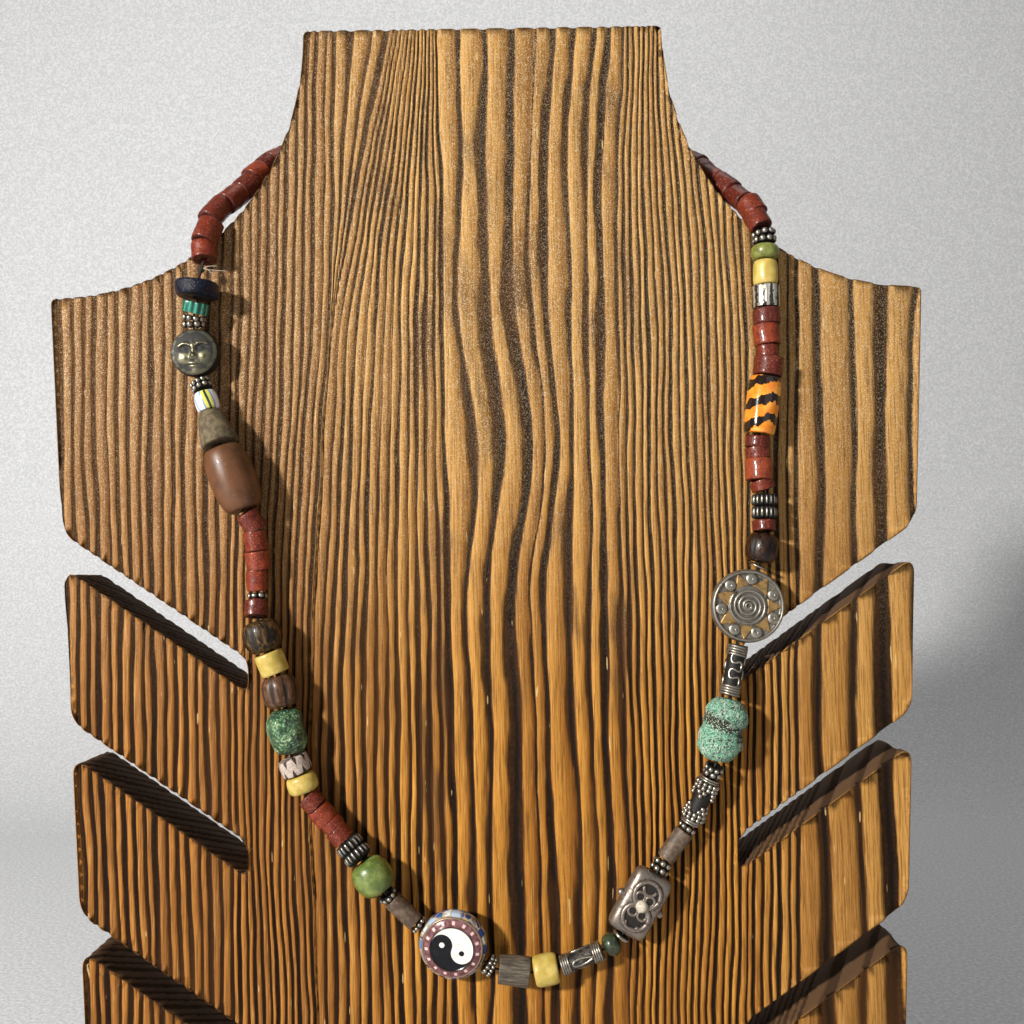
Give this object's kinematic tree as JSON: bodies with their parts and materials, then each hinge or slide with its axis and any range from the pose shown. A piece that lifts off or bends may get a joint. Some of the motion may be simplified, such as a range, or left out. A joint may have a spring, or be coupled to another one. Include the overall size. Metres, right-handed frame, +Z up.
{
  "type": "beaded necklace on neck display board",
  "caption": "Long single-strand necklace of mixed stone, glass, wood and silver beads, hung round a flat wooden neck display board with slotted sides.",
  "frame": {"origin": "middle of the board's flat bottom face, where it stands", "axes": "+X across the board to the viewer's right, -Y out of the front that the beads hang on, +Z up to the neck"},
  "size_m": [0.2318, 0.1014, 0.305],
  "materials": {
    "wood": "burnt and brushed",
    "thread": "matte",
    "red_stone": "polished",
    "blue_stone": "polished",
    "green_glass": "glossy",
    "old_silver": "tarnished silver",
    "dark_pewter": "worn, glossy",
    "white_glass": "glossy",
    "grey_stone": "rough",
    "copper_brown_stone": "glossy",
    "dark_wood": "oiled",
    "yellow_resin": "satin",
    "green_stone": "pitted",
    "bone": "matte bone",
    "light_green_glass": "milky, glossy",
    "brown_stone": "satin",
    "enamel": "worn enamel on metal",
    "horn": "grained horn, matte",
    "dark_green_stone": "polished",
    "mint_stone": "satin",
    "orange_glass": "glossy",
    "clear_glass": "foil lined",
    "olive_stone": "satin"
  },
  "bodies": {
    "root": {"neck_red_string": "red_stone", "thread": "thread", "sun_disc_bead": "old_silver", "moon_face_bead": "dark_pewter", "neck_board": "wood", "silver_scroll_box": "old_silver", "granulated_silver_tube": "old_silver", "turquoise_nugget": "mint_stone", "silver_loop_tube": "old_silver", "silver_wave_tube": "old_silver", "left_reds": "red_stone", "lower_reds": "red_stone", "right_reds_low": "red_stone", "right_reds_high": "red_stone", "ribbed_rings_left": "old_silver", "ribbed_rings_right": "old_silver", "yin_yang_bead": "enamel", "fluted_green_bead": "green_glass", "daisy_spacers_1": "old_silver", "daisy_spacers_2": "old_silver", "melon_wood_bead": "dark_wood", "daisy_spacers_6": "old_silver", "daisy_spacers_7": "old_silver", "daisy_spacers_9": "old_silver", "daisy_spacers_10": "old_silver", "striped_glass_bead": "white_glass", "brown_barrel_bead": "copper_brown_stone", "yellow_barrel_bead": "yellow_resin", "tiger_glass_bead": "orange_glass", "small_yellow_bead": "yellow_resin", "grooved_wood_bead": "dark_wood", "green_nugget": "green_stone", "yellow_round_bead": "yellow_resin", "green_round_bead": "light_green_glass", "grey_horn_bead": "horn", "dark_green_bead": "dark_green_stone", "brown_wood_bead": "dark_wood", "green_rondelle": "olive_stone", "lapis_rondelle": "blue_stone", "grey_stone_bead": "grey_stone", "daisy_spacer_3": "old_silver", "left_maroon_bead": "red_stone", "yellow_drum_bead": "yellow_resin", "notched_bone_bead": "bone", "daisy_spacer_4": "old_silver", "brown_stone_tube": "brown_stone", "daisy_spacer_5": "old_silver", "thin_silver_disc": "old_silver", "grey_stone_tube": "brown_stone", "daisy_spacer_8": "old_silver", "thin_silver_ring": "old_silver", "right_maroon_bead": "red_stone", "clear_foil_bead": "clear_glass", "rear_strut": "wood"}
  },
  "joints": []
}
